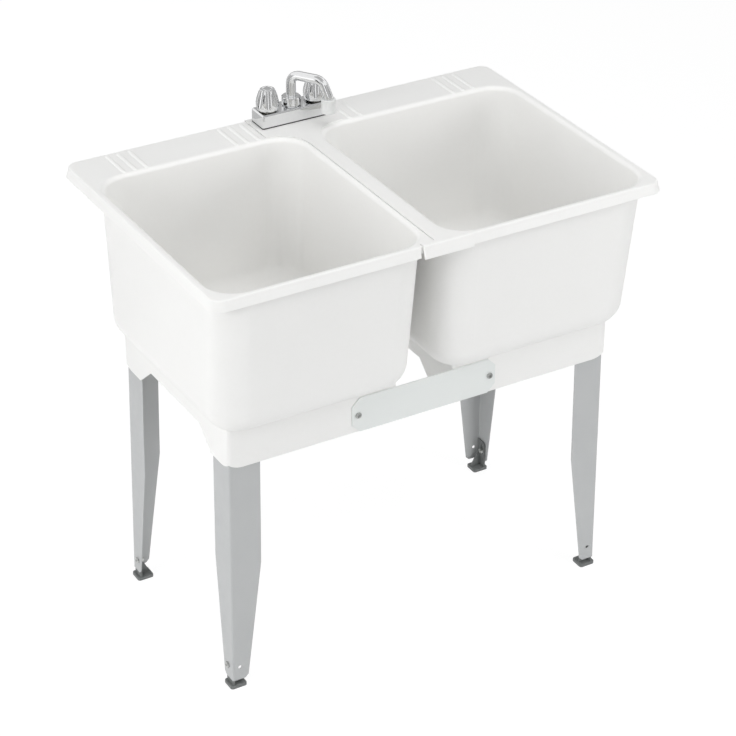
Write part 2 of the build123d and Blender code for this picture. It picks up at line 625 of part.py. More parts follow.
def right_tub():
    """Right tub, with the flange and lip bands that cover the joint."""
    start = RIGHT_BOWL_EDGE - WALL
    rim = rim_form("right", SEAM_X) - rim_hollow("right", SEAM_X - 1)
    low = RIM_HEIGHT - LIP_DROP - 1
    rim = rim - block(-FAR, start, -FAR, FAR, low, RIM_HEIGHT - WALL)
    tub = open_bowl("right", rim)
    flange = flange_plan(0.0, RIM_HEIGHT - WALL, RIM_HEIGHT) & block(
        -FAR, SEAM_X + 1, RIM_FRONT, RIM_BACK, low, RIM_HEIGHT)
    pad = flange_plan(0.0, RIM_HEIGHT - 0.5, PAD_TOP) & block(
        -FAR, FAR, RIM_FRONT + LIP_ROUNDING, RIM_BACK - LIP_ROUNDING, low, PAD_TOP)
    pad = pad - pad_right_boundary(RIM_HEIGHT - 1, PAD_TOP + 1)
    tub = tub + flange + pad
    tub = tub + band(BAND_LEFT, BAND_RIGHT, RIM_FRONT, RIM_FRONT - BAND_PROUD)
    tub = tub + band(PAD_LEFT, PAD_RIGHT, RIM_BACK, RIM_BACK + BAND_PROUD)
    tub = tub + below_bowl("right")
    for ridge in ridges(PAD_RIGHT, HALF_WIDTH):
        tub = tub + ridge
    return cut_openings("right", tub)


# ======================================================================================
# Legs and levelling feet, made for the front left corner and mirrored to the others
# ======================================================================================

def to_corner(shape, side, end):
    """Mirror a front left shape to another corner."""
    if side == "right":
        shape = mirror(shape, Plane.YZ)
    if end == "rear":
        shape = mirror(shape, Plane(origin=(0, SKIRT_MIDDLE_Y, 0), z_dir=(0, 1, 0)))
    return shape


def leg_frame():
    """Frame at the leg's outer corner on the floor: +x and +y along the flanges, +z up it."""
    drop = SKIRT_BOTTOM * SPLAY
    x = -SKIRT_OUTER + SKIRT_WALL + LEG_CLEARANCE - drop
    y = SKIRT_FRONT + SKIRT_WALL + LEG_CLEARANCE - drop
    return Plane(origin=(x, y, 0), x_dir=(1, 0, -SPLAY), z_dir=(SPLAY, SPLAY, 1))


def flange_outline():
    """Half outline of a leg's flange: width against height."""
    return [(0, LEG_BOTTOM), (LEG_FOOT_WIDTH - LEG_END_CORNER, LEG_BOTTOM),
            (LEG_FOOT_WIDTH, LEG_BOTTOM + LEG_END_CORNER), (LEG_WIDTH, LEG_TAPER_START),
            (LEG_WIDTH, LEG_TOP), (0, LEG_TOP)]


def bore_along_x(radius, x0, x1, y, z):
    """Cylinder along x."""
    return Pos((x0 + x1) / 2, y, z) * Rot(0, 90, 0) * Cylinder(radius, x1 - x0)


def bore_along_y(radius, y0, y1, x, z):
    """Cylinder along y."""
    return Pos(x, (y0 + y1) / 2, z) * Rot(90, 0, 0) * Cylinder(radius, y1 - y0)


def leg():
    """Folded sheet-steel leg: two flanges that narrow towards the foot."""
    outline = flange_outline()
    outside = rounded_block(0, 2 * LEG_WIDTH, 0, 2 * LEG_WIDTH, LEG_BOTTOM, LEG_TOP, LEG_BEND)
    inside = rounded_block(LEG_THICKNESS, 3 * LEG_WIDTH, LEG_THICKNESS, 3 * LEG_WIDTH,
                           LEG_BOTTOM - 1, LEG_TOP + 1, LEG_BEND - LEG_THICKNESS)
    angle = outside - inside
    angle = angle & profile_along_y(outline, -1, LEG_WIDTH + 1)
    angle = angle & profile_along_x(outline, -1, LEG_WIDTH + 1)
    screw_hole = bore_along_x(LEVEL_SCREW_RADIUS + HOLE_CLEARANCE, -1, LEG_THICKNESS + 1,
                              LEVEL_SCREW_INSET, LEVEL_SCREW_HEIGHT)
    spare_hole = bore_along_y(EMPTY_HOLE_RADIUS, -1, LEG_THICKNESS + 1,
                              EMPTY_HOLE_INSET, EMPTY_HOLE_HEIGHT)
    return leg_frame().location * (angle - screw_hole - spare_hole)


def travel_slot(x0, x1):
    """Slot through a foot's upright, for the screw that the foot slides past."""
    radius = LEVEL_SCREW_RADIUS + RUNNING_GAP
    y = LEVEL_SCREW_INSET
    top = LEVEL_SCREW_HEIGHT + FOOT_TRAVEL
    slot = bore_along_x(radius, x0 - 1, x1 + 1, y, LEVEL_SCREW_HEIGHT)
    slot += bore_along_x(radius, x0 - 1, x1 + 1, y, top)
    return slot + block(x0 - 1, x1 + 1, y - radius, y + radius, LEVEL_SCREW_HEIGHT, top)


def foot():
    """Levelling foot: a pad, an upright inside the leg's side flange and a gusset."""
    near = LEG_THICKNESS + RUNNING_GAP
    far = near + FOOT_UPRIGHT_THICKNESS
    low = FOOT_THICKNESS / 2
    plate = block(near, far, near, FOOT_UPRIGHT_WIDTH, low, FOOT_UPRIGHT_TOP)
    root = plate.edges().filter_by(Axis.Z).sort_by(lambda e: e.center().X + e.center().Y)[0]
    plate = fillet(root, LEG_BEND - LEG_THICKNESS)
    back_end = plate.edges().filter_by(Axis.X).sort_by(lambda e: e.center().Y + e.center().Z)[-1]
    plate = fillet(back_end, FOOT_UPRIGHT_WIDTH / 3)
    toe = FOOT_LENGTH - FOOT_OUTBOARD_X - FOOT_GUSSET_MARGIN
    gusset = profile_along_y([(near, low), (toe, low), (toe, FOOT_THICKNESS),
                              (far, FOOT_GUSSET_TOP), (near, FOOT_GUSSET_TOP)],
                             FOOT_GUSSET_INSET, FOOT_GUSSET_INSET + FOOT_GUSSET_THICKNESS)
    upright = leg_frame().location * (plate + gusset - travel_slot(near, far))
    corner = leg_frame().origin
    pad = rounded_block(corner.X - FOOT_OUTBOARD_X, corner.X - FOOT_OUTBOARD_X + FOOT_LENGTH,
                        corner.Y - FOOT_OUTBOARD_Y, corner.Y - FOOT_OUTBOARD_Y + FOOT_DEPTH,
                        0, FOOT_THICKNESS, FOOT_CORNER)
    pad = fillet(pad.faces().sort_by(Axis.Z)[-1].edges(), FOOT_THICKNESS / 4)
    upper = upright & block(-FAR, FAR, -FAR, FAR, FOOT_THICKNESS / 2, FAR)
    return pad + upper


def pan_head(radius, height):
    """Low domed screw head on the plane z = 0."""
    head = Pos(0, 0, height / 2) * Cylinder(radius, height)
    head = fillet(head.faces().sort_by(Axis.Z)[-1].edges(), height * 0.6)
    return head


def cross_recess(height, reach):
    """Cross-shaped recess in a screw's head."""
    bar = Box(reach, reach / 4, height)
    return Pos(0, 0, height) * (bar + Rot(0, 0, 90) * bar)


def machine_screw(radius, head_radius, head_height, length):
    """Screw with its head on the plane z = 0 and its shank down -z."""
    head = pan_head(head_radius, head_height) - cross_recess(head_height, head_radius)
    return head + disc(radius, -length, 0.5)


def hex_nut(radius, flats, height):
    """Nut on the plane z = 0, towards -z, with a bore for its screw."""
    return hexagon(flats, -height, 0) - disc(radius + SEAT_GAP / 2, -height - 1, 1)


def levelling_screw():
    """Screw through the leg's side flange, head outside."""
    grip = LEG_THICKNESS + 2 * RUNNING_GAP + FOOT_UPRIGHT_THICKNESS
    screw = machine_screw(LEVEL_SCREW_RADIUS, LEVEL_HEAD_RADIUS, LEVEL_HEAD_HEIGHT,
                          grip + NUT_HEIGHT + 2)
    placed = Pos(-SEAT_GAP, LEVEL_SCREW_INSET, LEVEL_SCREW_HEIGHT) * Rot(0, -90, 0) * screw
    return leg_frame().location * placed


def levelling_nut():
    """Nut on the levelling screw, inside the foot's upright."""
    x = LEG_THICKNESS + 2 * RUNNING_GAP + FOOT_UPRIGHT_THICKNESS
    nut = hex_nut(LEVEL_SCREW_RADIUS, NUT_FLATS, NUT_HEIGHT)
    placed = Pos(x, LEVEL_SCREW_INSET, LEVEL_SCREW_HEIGHT) * Rot(0, -90, 0) * nut
    return leg_frame().location * placed


def at_all_corners(make):
    """The same small piece at all four legs."""
    return [to_corner(make(), side, end) for side in ("left", "right")
            for end in ("front", "rear")]


# ======================================================================================
# Tie plates
# ======================================================================================

def tie_plate(y, out):
    """Flat plate across the two skirts at one face y, outward being out (+1 or -1)."""
    near = y + out * SEAT_GAP
    far = near + out * PLATE_THICKNESS
    half = PLATE_LENGTH / 2
    plate = block(-half, half, *sorted((near, far)), SKIRT_BOTTOM, SKIRT_BOTTOM + PLATE_HEIGHT)
    plate = chamfer(plate.edges().filter_by(Axis.Y), PLATE_CHAMFER)
    hole = Cylinder(PLATE_SCREW_RADIUS + HOLE_CLEARANCE, 4 * PLATE_THICKNESS)
    for x in (-PLATE_SCREW_X, PLATE_SCREW_X):
        plate = plate - along_y(hole, x, (near + far) / 2, plate_screw_height())
    return plate


def plate_screws():
    """Four screws through tie plates and skirts."""
    grip = PLATE_THICKNESS + SKIRT_WALL + 3 * SEAT_GAP
    screw = machine_screw(PLATE_SCREW_RADIUS, PLATE_HEAD_RADIUS, PLATE_HEAD_HEIGHT,
                          grip + NUT_HEIGHT + 2)
    placed = []
    for x, y, out in plate_screw_places():
        seat = y + out * (PLATE_THICKNESS + 2 * SEAT_GAP)
        placed.append(Pos(x, seat, plate_screw_height()) * Rot(-90 * out, 0, 0) * screw)
    return placed


def plate_nuts():
    """Nuts inside the skirts."""
    nut = hex_nut(PLATE_SCREW_RADIUS, NUT_FLATS, NUT_HEIGHT)
    placed = []
    for x, y, out in plate_screw_places():
        seat = y - out * (SKIRT_WALL + SEAT_GAP)
        placed.append(Pos(x, seat, plate_screw_height()) * Rot(-90 * out, 0, 0) * nut)
    return placed


# ======================================================================================
# Drains
# ======================================================================================

def drain_body():
    """Strainer body: flange in the bowl's floor, grid across its throat."""
    top = DRAIN_SEAT + SEAT_GAP + DRAIN_FLANGE_HEIGHT
    bottom = top - DRAIN_BODY_LENGTH
    body = disc(DRAIN_FLANGE_RADIUS, DRAIN_SEAT + SEAT_GAP, top)
    body = fillet(body.faces().sort_by(Axis.Z)[-1].edges(), DRAIN_FLANGE_HEIGHT / 2)
    body = body + disc(DRAIN_BODY_RADIUS, bottom, top - 1)
    cone = Pos(0, 0, top - DRAIN_GRID_DROP / 2) * Cone(
        DRAIN_THROAT_RADIUS, DRAIN_MOUTH_RADIUS, DRAIN_GRID_DROP)
    body = body - cone - disc(DRAIN_THROAT_RADIUS, bottom - 1, top - DRAIN_GRID_DROP + 0.5)
    grid_top = top - DRAIN_GRID_DROP
    grid = disc(DRAIN_THROAT_RADIUS + 1, grid_top - DRAIN_GRID_THICKNESS, grid_top)
    slot = block(DRAIN_SLOT_START, DRAIN_SLOT_END, -DRAIN_SLOT_WIDTH / 2, DRAIN_SLOT_WIDTH / 2,
                 grid_top - DRAIN_GRID_THICKNESS - 1, grid_top + 1)
    for step in range(DRAIN_SLOTS):
        grid = grid - Rot(0, 0, step * 360 / DRAIN_SLOTS) * slot
    return body + grid


def drain_gasket():
    z = DRAIN_BOSS_BOTTOM - SEAT_GAP
    return ring(DRAIN_GASKET_RADIUS, DRAIN_BODY_RADIUS + HOLE_CLEARANCE,
                z - DRAIN_GASKET_HEIGHT, z)


def drain_locknut():
    """Ring nut with four lugs, under the gasket."""
    top = DRAIN_BOSS_BOTTOM - 2 * SEAT_GAP - DRAIN_GASKET_HEIGHT
    low = top - DRAIN_NUT_HEIGHT
    nut = disc(DRAIN_NUT_RADIUS - DRAIN_NUT_LUG, low, top)
    nut = nut + disc(DRAIN_NUT_RADIUS, top - DRAIN_NUT_LUG, top)
    lug = block(-DRAIN_NUT_LUG, DRAIN_NUT_LUG, 0, DRAIN_NUT_RADIUS, low, top) & disc(
        DRAIN_NUT_RADIUS, low, top)
    for turn in (0, 90, 180, 270):
        nut = nut + Rot(0, 0, turn) * lug
    return nut - disc(DRAIN_BODY_RADIUS + SEAT_GAP / 2, low - 1, top + 1)


def drain_end():
    """Height of the drain body's lower end."""
    return DRAIN_SEAT + SEAT_GAP + DRAIN_FLANGE_HEIGHT - DRAIN_BODY_LENGTH


def slip_washer():
    z = drain_end() - SEAT_GAP
    return ring(DRAIN_BODY_RADIUS, TAILPIECE_RADIUS - TAILPIECE_WALL, z - SLIP_WASHER_HEIGHT, z)


def tailpiece():
    """Flanged drain pipe that hangs from the slip nut."""
    top = drain_end() - 2 * SEAT_GAP - SLIP_WASHER_HEIGHT
    neck_top = top - TAILPIECE_FLANGE_HEIGHT
    pipe = disc(TAILPIECE_RADIUS, top - TAILPIECE_LENGTH, neck_top - TAILPIECE_NECK_LENGTH)
    pipe += disc(TAILPIECE_NECK_RADIUS, neck_top - TAILPIECE_NECK_LENGTH, neck_top)
    pipe += disc(TAILPIECE_FLANGE_RADIUS, neck_top, top)
    bore = TAILPIECE_RADIUS - TAILPIECE_WALL
    return pipe - disc(bore, top - TAILPIECE_LENGTH - 1, top + 1)


def slip_nut():
    """Knurled nut that clamps the tailpiece's flange to the drain body."""
    flange_low = drain_end() - 2 * SEAT_GAP - SLIP_WASHER_HEIGHT - TAILPIECE_FLANGE_HEIGHT
    low = flange_low - SEAT_GAP - SLIP_NUT_FLOOR
    high = low + SLIP_NUT_HEIGHT
    nut = disc(SLIP_NUT_RADIUS, low, high)
    nut = chamfer(nut.edges().filter_by(GeomType.CIRCLE), SMALL_EDGE)
    groove = disc(SLIP_NUT_GROOVE_RADIUS, low - 1, high + 1, SLIP_NUT_RADIUS + 1)
    for step in range(SLIP_NUT_GROOVES):
        nut = nut - Rot(0, 0, step * 360 / SLIP_NUT_GROOVES) * groove
    cavity = disc(DRAIN_BODY_RADIUS + SEAT_GAP / 2, flange_low - SEAT_GAP, high + 1)
    return nut - cavity - disc(TAILPIECE_RADIUS + HOLE_CLEARANCE, low - 1, high)


def stopper():
    """Rubber plug resting in the drain's conical mouth, with a pull knob."""
    mouth = DRAIN_SEAT + SEAT_GAP + DRAIN_FLANGE_HEIGHT
    taper = (DRAIN_MOUTH_RADIUS - DRAIN_THROAT_RADIUS) / DRAIN_GRID_DROP
    plug_radius = DRAIN_MOUTH_RADIUS - RUNNING_GAP
    plug = Pos(0, 0, mouth - STOPPER_HEIGHT / 2) * Cone(
        plug_radius - STOPPER_HEIGHT * taper, plug_radius, STOPPER_HEIGHT)
    rim_low = mouth + RUNNING_GAP
    rim_high = rim_low + STOPPER_RIM_HEIGHT
    rim = disc(STOPPER_RIM_RADIUS, rim_low, rim_high)
    rim = fillet(rim.faces().sort_by(Axis.Z)[-1].edges(), STOPPER_RIM_HEIGHT / 2)
    collar = disc(plug_radius, mouth - RUNNING_GAP, rim_high - RUNNING_GAP)
    neck = disc(STOPPER_NECK_RADIUS, mouth, rim_high + STOPPER_KNOB_HEIGHT)
    knob = Pos(0, 0, rim_high + STOPPER_KNOB_HEIGHT) * Sphere(STOPPER_KNOB_RADIUS)
    return plug + collar + rim + neck + knob


# ======================================================================================
# Faucet, made about its own upright axis and then moved back on to the deck
# ======================================================================================

def on_deck(shape):
    return Pos(0, FAUCET_Y, 0) * shape


HANDLE_X = {"hot": -HANDLE_SPACING / 2, "cold": HANDLE_SPACING / 2}


def faucet_body():
    """Cast body with two inlet shanks, cartridge bores and the spout's boss."""
    half_x = FAUCET_LENGTH / 2
    half_y = FAUCET_DEPTH / 2
    body = rounded_block(-half_x, half_x, -half_y, half_y, BODY_BOTTOM, BODY_TOP, FAUCET_CORNER)
    body = chamfer(body.faces().sort_by(Axis.Z)[-1].edges(), FAUCET_CHAMFER)
    body = body + disc(BOSS_RADIUS, BODY_TOP - 1, BODY_TOP + BOSS_HEIGHT)
    for x in HANDLE_X.values():
        shank_end = PAD_TOP - SHANK_LENGTH
        neck = shank_end + SHANK_END_LENGTH
        body = body + disc(SHANK_RADIUS, shank_end, BODY_BOTTOM + 1, x)
        body = body - ring(SHANK_RADIUS + 1, SHANK_RADIUS - SHANK_NECK_DEPTH, neck,
                           neck + SHANK_NECK_WIDTH, x)
    spigot_floor = BODY_TOP - SPOUT_SPIGOT - RUNNING_GAP
    bore = SPOUT_RADIUS + SPOUT_SPIGOT_GAP
    body = body - disc(bore, spigot_floor, BODY_TOP + BOSS_HEIGHT + 1)
    gallery = (BODY_BOTTOM + spigot_floor) / 2
    body = body - bore_along_x(GALLERY_RADIUS, -HANDLE_SPACING / 2, HANDLE_SPACING / 2,
                               0, gallery)
    body = body - disc(PASSAGE_RADIUS, gallery, spigot_floor + 1)
    for x in HANDLE_X.values():
        body = body - disc(CARTRIDGE_RADIUS + CARTRIDGE_FIT, BODY_TOP - CARTRIDGE_DEPTH,
                           BODY_TOP + 1, x)
        body = body - disc(PASSAGE_RADIUS, BODY_BOTTOM - 1, BODY_TOP - CARTRIDGE_DEPTH + 1, x)
        body = body - disc(SHANK_BORE, PAD_TOP - SHANK_LENGTH - 1, BODY_BOTTOM - 2, x)
    return on_deck(body)


def faucet_gasket():
    """Black pad between the faucet's body and the deck."""
    half_x = FAUCET_LENGTH / 2
    half_y = FAUCET_DEPTH / 2
    pad = rounded_block(-half_x, half_x, -half_y, half_y, PAD_TOP + SEAT_GAP,
                        BODY_BOTTOM - SEAT_GAP, FAUCET_CORNER)
    for x in HANDLE_X.values():
        pad = pad - disc(SHANK_RADIUS + HOLE_CLEARANCE, PAD_TOP - 1, BODY_BOTTOM + 1, x)
    return on_deck(pad)


def deck_underside(x):
    """Height of the underside of the deck where a shank passes."""
    if x < 0:
        return RIM_HEIGHT - 2 * WALL
    return RIM_HEIGHT - WALL


def shank_washers():
    washers = []
    for x in HANDLE_X.values():
        z = deck_underside(x) - SEAT_GAP
        washers.append(on_deck(ring(SHANK_WASHER_RADIUS, SHANK_RADIUS + HOLE_CLEARANCE,
                                    z - SHANK_WASHER_HEIGHT, z, x)))
    return washers


def shank_nuts():
    """Winged plastic nuts that hold the faucet down."""
    nuts = []
    for x in HANDLE_X.values():
        z = deck_underside(x) - 2 * SEAT_GAP - SHANK_WASHER_HEIGHT
        nut = disc(SHANK_RADIUS + SHANK_NUT_WALL, z - SHANK_NUT_HEIGHT, z, x)
        nut = nut + disc(SHANK_NUT_RADIUS, z - SHANK_NUT_WALL, z, x)
        for turn in (45, 135):
            wing = Pos(x, 0, z - SHANK_NUT_HEIGHT / 2) * Rot(0, 0, turn) * Box(
                2 * SHANK_NUT_RADIUS, SHANK_NUT_WALL, SHANK_NUT_HEIGHT)
            nut = nut + wing
        bore = disc(SHANK_RADIUS + SEAT_GAP / 2, z - SHANK_NUT_HEIGHT - 1, z + 1, x)
        nuts.append(on_deck(nut - bore))
    return nuts


def cartridge(which):
    """Valve cartridge with its clamping flange and neck."""
    x = HANDLE_X[which]
    low = BODY_TOP - CARTRIDGE_DEPTH + SEAT_GAP
    form = disc(CARTRIDGE_RADIUS, low, BODY_TOP + 1)
    seat = BODY_TOP + SEAT_GAP
    form += hexagon(CARTRIDGE_FLATS, seat, seat + CARTRIDGE_FLANGE_HEIGHT)
    form += disc(CARTRIDGE_NECK_RADIUS, seat, BODY_TOP + CARTRIDGE_NECK_HEIGHT)
    form = form - disc(STEM_RADIUS + STEM_FIT, low - 1, BODY_TOP + CARTRIDGE_NECK_HEIGHT + 1)
    pocket_low = BODY_TOP - STEM_DEPTH - RUNNING_GAP
    pocket_high = BODY_TOP - STEM_DEPTH + STEM_COLLAR_HEIGHT + RUNNING_GAP
    form = form - disc(STEM_COLLAR_RADIUS + RUNNING_GAP, pocket_low, pocket_high)
    return on_deck(Pos(x, 0, 0) * form)


def hub_bottom():
    """Lower end of the hub inside a handle."""
    return BODY_TOP + CARTRIDGE_NECK_HEIGHT + RUNNING_GAP


def stem_top():
    return DISH_FLOOR - HANDLE_SCREW_HEAD_HEIGHT - HANDLE_SCREW_GRIP


def stem(which):
    """Turning stem with its collar inside the cartridge."""
    low = BODY_TOP - STEM_DEPTH
    form = disc(STEM_RADIUS, low, stem_top())
    form += disc(STEM_COLLAR_RADIUS, low, low + STEM_COLLAR_HEIGHT)
    form = form - disc(HANDLE_SCREW_RADIUS + STEM_FIT, stem_top() - HANDLE_SCREW_LENGTH,
                       stem_top() + 1)
    return on_deck(Pos(HANDLE_X[which], 0, 0) * form)


def handle_profile():
    """Outline of the handle, turned about its axis."""
    z0 = HANDLE_BOTTOM
    crown = HANDLE_TOP - HANDLE_CROWN_HEIGHT
    flat = HANDLE_TOP_RADIUS - HANDLE_CROWN_WIDTH
    diagonal = math.sqrt(0.5)
    side = Spline((HANDLE_BASE_RADIUS, 0, z0),
                  (HANDLE_WAIST_RADIUS, 0, z0 + HANDLE_WAIST_HEIGHT),
                  (HANDLE_SHOULDER_RADIUS, 0, z0 + HANDLE_SHOULDER_HEIGHT),
                  (HANDLE_TOP_RADIUS, 0, crown))
    edge = ThreePointArc((HANDLE_TOP_RADIUS, 0, crown),
                         (flat + HANDLE_CROWN_WIDTH * diagonal, 0,
                          crown + HANDLE_CROWN_HEIGHT * diagonal),
                         (flat, 0, HANDLE_TOP))
    rest = Polyline((flat, 0, HANDLE_TOP), (HANDLE_DISH_RADIUS, 0, HANDLE_TOP),
                    (BUTTON_RADIUS + BUTTON_MARGIN, 0, DISH_FLOOR), (0, 0, DISH_FLOOR),
                    (0, 0, z0), (HANDLE_BASE_RADIUS, 0, z0))
    return make_face([side, edge, rest])


def handle_solid():
    """Fluted knob about the z axis, hollow below around the cartridge, with a hub."""
    form = revolve(handle_profile(), Axis.Z)
    low = HANDLE_BOTTOM + HANDLE_WAIST_HEIGHT
    high = HANDLE_TOP - HANDLE_CROWN_HEIGHT
    lean = math.degrees(math.atan2(HANDLE_WAIST_RADIUS - HANDLE_TOP_RADIUS, high - low))
    middle_radius = (HANDLE_WAIST_RADIUS + HANDLE_TOP_RADIUS) / 2 + FLUTE_RADIUS - FLUTE_DEPTH / 2
    for step in range(FLUTES):
        cutter = Pos(middle_radius, 0, (low + high) / 2) * Rot(0, -lean, 0) * Cylinder(
            FLUTE_RADIUS, 3 * HANDLE_HEIGHT)
        form = form - Rot(0, 0, (step + 0.5) * 360 / FLUTES) * cutter
    hollow_radius = HANDLE_BASE_RADIUS - HANDLE_SHELL
    hollow_top = HANDLE_BOTTOM + HANDLE_HOLLOW_HEIGHT
    hollow = Pos(0, 0, (HANDLE_BOTTOM - 1 + hollow_top) / 2) * Cone(
        hollow_radius, HANDLE_TOP_RADIUS - HANDLE_SHELL, hollow_top - HANDLE_BOTTOM + 1)
    hub = disc(HANDLE_HUB_RADIUS, hub_bottom(), hollow_top + 1)
    form = form - (hollow - hub)
    form = form - disc(STEM_RADIUS + STEM_FIT, HANDLE_BOTTOM - 1, stem_top() + SEAT_GAP)
    form = form - disc(HANDLE_SCREW_RADIUS + HOLE_CLEARANCE, HANDLE_BOTTOM, HANDLE_TOP)
    head_seat = DISH_FLOOR - HANDLE_SCREW_HEAD_HEIGHT - SEAT_GAP
    return form - disc(HANDLE_SCREW_HEAD_RADIUS + HOLE_CLEARANCE, head_seat, HANDLE_TOP)


def handle(which):
    return on_deck(Pos(HANDLE_X[which], 0, 0) * handle_solid())


def handle_screw(which):
    """Screw from the dish down into the stem."""
    seat = DISH_FLOOR - HANDLE_SCREW_HEAD_HEIGHT
    screw = machine_screw(HANDLE_SCREW_RADIUS, HANDLE_SCREW_HEAD_RADIUS,
                          HANDLE_SCREW_HEAD_HEIGHT, HANDLE_SCREW_LENGTH)
    return on_deck(Pos(HANDLE_X[which], 0, seat) * screw)


def index_button(which):
    """Plain cap over the handle's screw."""
    z0 = DISH_FLOOR + SEAT_GAP
    cap = disc(BUTTON_RADIUS, z0, z0 + BUTTON_HEIGHT)
    cap = fillet(cap.faces().sort_by(Axis.Z)[-1].edges(), BUTTON_HEIGHT / 2)
    return on_deck(Pos(HANDLE_X[which], 0, 0) * cap)


def at_rest_swing(shape):
    """Turn a spout piece made along +x to its resting direction, and put it on the deck."""
    return on_deck(Rot(0, 0, -90 + SPOUT_REST_ANGLE) * shape)


def spout_path():
    """Centre line of the spout in the xz plane."""
    z0 = BODY_TOP - SPOUT_SPIGOT
    top = PAD_TOP + SPOUT_TOP
    tip_top = PAD_TOP + TIP_BOTTOM + TIP_LENGTH
    lean_end = tip_top + SPOUT_STRAIGHT
    end = tip_top - TIP_OVERLAP
    points = [(0, 0, z0), (0, 0, top), (SPOUT_RUN, 0, top), (SPOUT_REACH, 0, lean_end),
              (SPOUT_REACH, 0, end)]
    return FilletPolyline(*points, radius=[SPOUT_BEND, SPOUT_OUTER_BEND, SPOUT_BEND])


def o_ring_heights():
    """Heights of the two rings on the spout's spigot."""
    middle = BODY_TOP - SPOUT_SPIGOT / 2
    return (middle - O_RING_SPACING / 2, middle + O_RING_SPACING / 2)


def spout():
    """Bent tube with a collar under its nut and grooves for its rings."""
    path = spout_path()
    start = Plane(origin=path @ 0, z_dir=path % 0)
    tube = sweep(start * Circle(SPOUT_RADIUS), path)
    bore = sweep(start * Circle(SPOUT_BORE), path)
    collar_low = BODY_TOP + BOSS_HEIGHT + RUNNING_GAP
    tube = tube + disc(SPOUT_COLLAR_RADIUS, collar_low, collar_low + SPOUT_COLLAR_HEIGHT)
    tube = tube - bore
    groove = O_RING_OUTER - 2 * O_RING_SECTION - SEAT_GAP / 2
    half_groove = O_RING_SECTION + SEAT_GAP / 2
    for z in o_ring_heights():
        cut = ring(SPOUT_RADIUS + 1, groove, z - half_groove, z + half_groove)
        tube = tube - cut
    return at_rest_swing(tube)


def spout_o_rings():
    return [at_rest_swing(Pos(0, 0, z) * Torus(O_RING_OUTER - O_RING_SECTION, O_RING_SECTION))
            for z in o_ring_heights()]


def spout_nut():
    """Castellated ring nut that holds the spout's collar on its boss."""
    low = BODY_TOP + SPOUT_NUT_LIFT
    high = low + SPOUT_NUT_HEIGHT
    nut = disc(SPOUT_NUT_RADIUS, low, high)
    nut = chamfer(nut.edges().filter_by(GeomType.CIRCLE), SMALL_EDGE)
    for step in range(SPOUT_NUT_SLOTS):
        slot = block(SPOUT_NUT_RADIUS - SPOUT_NUT_SLOT_CUT, SPOUT_NUT_RADIUS + 2,
                     -SPOUT_NUT_SLOT_WIDTH / 2, SPOUT_NUT_SLOT_WIDTH / 2,
                     high - SPOUT_NUT_SLOT_DEPTH, high + 1)
        nut = nut - Rot(0, 0, step * 360 / SPOUT_NUT_SLOTS) * slot
    nut = nut - disc(BOSS_RADIUS + SEAT_GAP / 2, low - 1, BODY_TOP + BOSS_HEIGHT + SEAT_GAP / 2)
    collar_space = BODY_TOP + BOSS_HEIGHT + 2 * RUNNING_GAP + SPOUT_COLLAR_HEIGHT
    nut = nut - disc(SPOUT_COLLAR_RADIUS + RUNNING_GAP, low, collar_space)
    return on_deck(nut - disc(SPOUT_RADIUS + RUNNING_GAP, low - 1, high + 1))


def spout_tip():
    """Hose-end tip pushed over the spout's outlet."""
    low = PAD_TOP + TIP_BOTTOM
    high = low + TIP_LENGTH
    tip = disc(TIP_RADIUS, low, high)
    tip = fillet(tip.edges().filter_by(GeomType.CIRCLE), SMALL_EDGE)
    tip = tip - disc(TIP_BORE, low - 1, high)
    socket = disc(SPOUT_RADIUS + TIP_FIT, high - TIP_OVERLAP - SEAT_GAP, high + 1)
    return at_rest_swing(Pos(SPOUT_REACH, 0, 0) * (tip - socket))


def spout_screen():
    """Perforated disc just inside the outlet."""
    low = PAD_TOP + TIP_BOTTOM + SCREEN_RISE
    screen = disc(TIP_BORE - STEM_FIT, low, low + SCREEN_THICKNESS)
    hole = disc(SCREEN_HOLE_RADIUS, low - 1, low + SCREEN_THICKNESS + 1)
    screen = screen - hole
    for radius, count in SCREEN_RINGS:
        for step in range(count):
            screen = screen - Rot(0, 0, step * 360 / count) * Pos(radius, 0, 0) * hole
    return at_rest_swing(Pos(SPOUT_REACH, 0, 0) * screen)


# ======================================================================================
# One file for each sub-part
# ======================================================================================

def save(node, shapes):
    """Write one sub-part; a list becomes one file of separate solids."""
    if isinstance(shapes, list):
        shapes = Compound(children=[s for shape in shapes for s in shape.solids()])
    export_step(shapes, f"parts/{node}.step")


def at_drain(shape, side):
    return Pos(sum(BOWL_X[side]) / 2, DRAIN_Y, 0) * shape


save("left_tub", left_tub())
save("right_tub", right_tub())
save("front_tie_plate", tie_plate(SKIRT_FRONT, -1))
save("rear_tie_plate", tie_plate(SKIRT_BACK, 1))
save("tie_plate_screws", plate_screws())
save("tie_plate_nuts", plate_nuts())

for side in ("left", "right"):
    for end in ("front", "rear"):
        save(f"leg_{end}_{side}", to_corner(leg(), side, end))
        save(f"foot_{end}_{side}", to_corner(foot(), side, end))
save("levelling_screws", at_all_corners(levelling_screw))
save("levelling_nuts", at_all_corners(levelling_nut))

for side in ("left", "right"):
    save(f"{side}_drain_body", at_drain(drain_body(), side))
    save(f"{side}_drain_gasket", at_drain(drain_gasket(), side))
    save(f"{side}_drain_locknut", at_drain(drain_locknut(), side))
    save(f"{side}_slip_washer", at_drain(slip_washer(), side))
    save(f"{side}_slip_nut", at_drain(slip_nut(), side))
    save(f"{side}_tailpiece", at_drain(tailpiece(), side))
    save(f"{side}_stopper", at_drain(stopper(), side))

